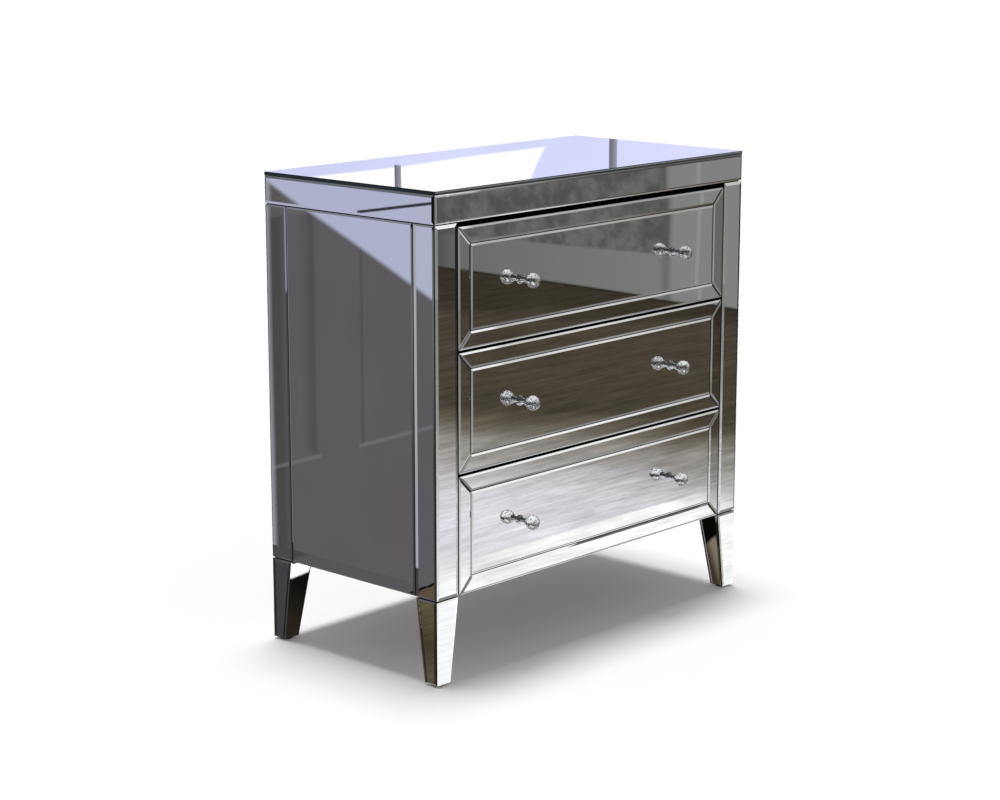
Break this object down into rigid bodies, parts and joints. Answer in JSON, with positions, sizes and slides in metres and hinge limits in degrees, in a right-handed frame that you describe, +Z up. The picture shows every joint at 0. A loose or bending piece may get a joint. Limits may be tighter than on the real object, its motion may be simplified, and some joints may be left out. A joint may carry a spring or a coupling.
{
  "type": "mirrored chest of drawers",
  "caption": "Free-standing chest of equal drawers clad in bevelled mirror, with cut crystal ball knobs on chrome bases and square tapered mirrored legs.",
  "frame": {"origin": "centre of the whole footprint, knobs included, on the floor under the feet", "axes": "+X to the right as one faces the drawers, +Y from the drawers to the back, +Z up"},
  "size_m": [0.8, 0.4406, 0.82],
  "materials": {
    "mirror_glass": "silvered clear glass with ground and polished bevels and dark green edges",
    "black_painted_board": "medium density fibreboard painted satin black",
    "back_board": "thin fibreboard painted matt black",
    "batten_wood": "planed softwood",
    "drawer_wood": "lacquered birch plywood",
    "drawer_bottom_board": "thin lacquered plywood",
    "polished_chrome": "polished chrome plate",
    "cut_crystal": "clear crystal, cut and polished facets",
    "zinc_steel": "zinc-plated rolled steel",
    "screw_steel": "zinc-plated steel screws and bolts",
    "bright_steel": "pressed steel cage and hardened bright balls",
    "glide_plastic": "black moulded plastic"
  },
  "bodies": {
    "case": {"top_mirror": "mirror_glass", "top_board": "black_painted_board", "top_rails": "black_painted_board", "top_band_front_mirror": "mirror_glass", "top_band_side_mirrors": "mirror_glass", "left_side_board": "black_painted_board", "right_side_board": "black_painted_board", "stile_posts": "black_painted_board", "bottom_board": "black_painted_board", "back_panel": "back_board", "divider_rails": "black_painted_board", "runner_battens": "batten_wood", "stile_mirrors": "mirror_glass", "left_side_mirrors": "mirror_glass", "right_side_mirrors": "mirror_glass", "case_runners": "zinc_steel", "case_runner_screws": "screw_steel", "leg_bolts": "screw_steel", "foot_glides": "glide_plastic", "front_left_leg": "black_painted_board", "front_left_leg_mirrors": "mirror_glass", "front_right_leg": "black_painted_board", "front_right_leg_mirrors": "mirror_glass", "back_left_leg": "black_painted_board", "back_left_leg_mirrors": "mirror_glass", "back_right_leg": "black_painted_board", "back_right_leg_mirrors": "mirror_glass"},
    "drawer_1": {"drawer_1_front_board": "black_painted_board", "drawer_1_centre_mirror": "mirror_glass", "drawer_1_border_mirrors": "mirror_glass", "drawer_1_box_sides": "drawer_wood", "drawer_1_box_back": "drawer_wood", "drawer_1_box_bottom": "drawer_bottom_board", "drawer_1_knob_bases": "polished_chrome", "drawer_1_knob_crystals": "cut_crystal", "drawer_1_runners": "zinc_steel", "drawer_1_screws": "screw_steel"},
    "drawer_1_cages": {"drawer_1_ball_cages": "bright_steel"},
    "drawer_2": {"drawer_2_front_board": "black_painted_board", "drawer_2_centre_mirror": "mirror_glass", "drawer_2_border_mirrors": "mirror_glass", "drawer_2_box_sides": "drawer_wood", "drawer_2_box_back": "drawer_wood", "drawer_2_box_bottom": "drawer_bottom_board", "drawer_2_knob_bases": "polished_chrome", "drawer_2_knob_crystals": "cut_crystal", "drawer_2_runners": "zinc_steel", "drawer_2_screws": "screw_steel"},
    "drawer_2_cages": {"drawer_2_ball_cages": "bright_steel"},
    "drawer_3": {"drawer_3_front_board": "black_painted_board", "drawer_3_centre_mirror": "mirror_glass", "drawer_3_border_mirrors": "mirror_glass", "drawer_3_box_sides": "drawer_wood", "drawer_3_box_back": "drawer_wood", "drawer_3_box_bottom": "drawer_bottom_board", "drawer_3_knob_bases": "polished_chrome", "drawer_3_knob_crystals": "cut_crystal", "drawer_3_runners": "zinc_steel", "drawer_3_screws": "screw_steel"},
    "drawer_3_cages": {"drawer_3_ball_cages": "bright_steel"}
  },
  "joints": [
    {"name": "drawer_1_slide", "type": "slide", "parent": "case", "child": "drawer_1", "axis": [0, -1, 0], "range_m": [0, 0.225]},
    {"name": "drawer_1_cage_roll", "type": "slide", "parent": "case", "child": "drawer_1_cages", "axis": [0, -1, 0], "range_m": [0, 0.1125]},
    {"name": "drawer_2_slide", "type": "slide", "parent": "case", "child": "drawer_2", "axis": [0, -1, 0], "range_m": [0, 0.225]},
    {"name": "drawer_2_cage_roll", "type": "slide", "parent": "case", "child": "drawer_2_cages", "axis": [0, -1, 0], "range_m": [0, 0.1125]},
    {"name": "drawer_3_slide", "type": "slide", "parent": "case", "child": "drawer_3", "axis": [0, -1, 0], "range_m": [0, 0.225]},
    {"name": "drawer_3_cage_roll", "type": "slide", "parent": "case", "child": "drawer_3_cages", "axis": [0, -1, 0], "range_m": [0, 0.1125]}
  ],
  "couplings": [
    {"joint": "drawer_1_cage_roll", "follows": "drawer_1_slide", "ratio": 0.5},
    {"joint": "drawer_2_cage_roll", "follows": "drawer_2_slide", "ratio": 0.5},
    {"joint": "drawer_3_cage_roll", "follows": "drawer_3_slide", "ratio": 0.5}
  ]
}
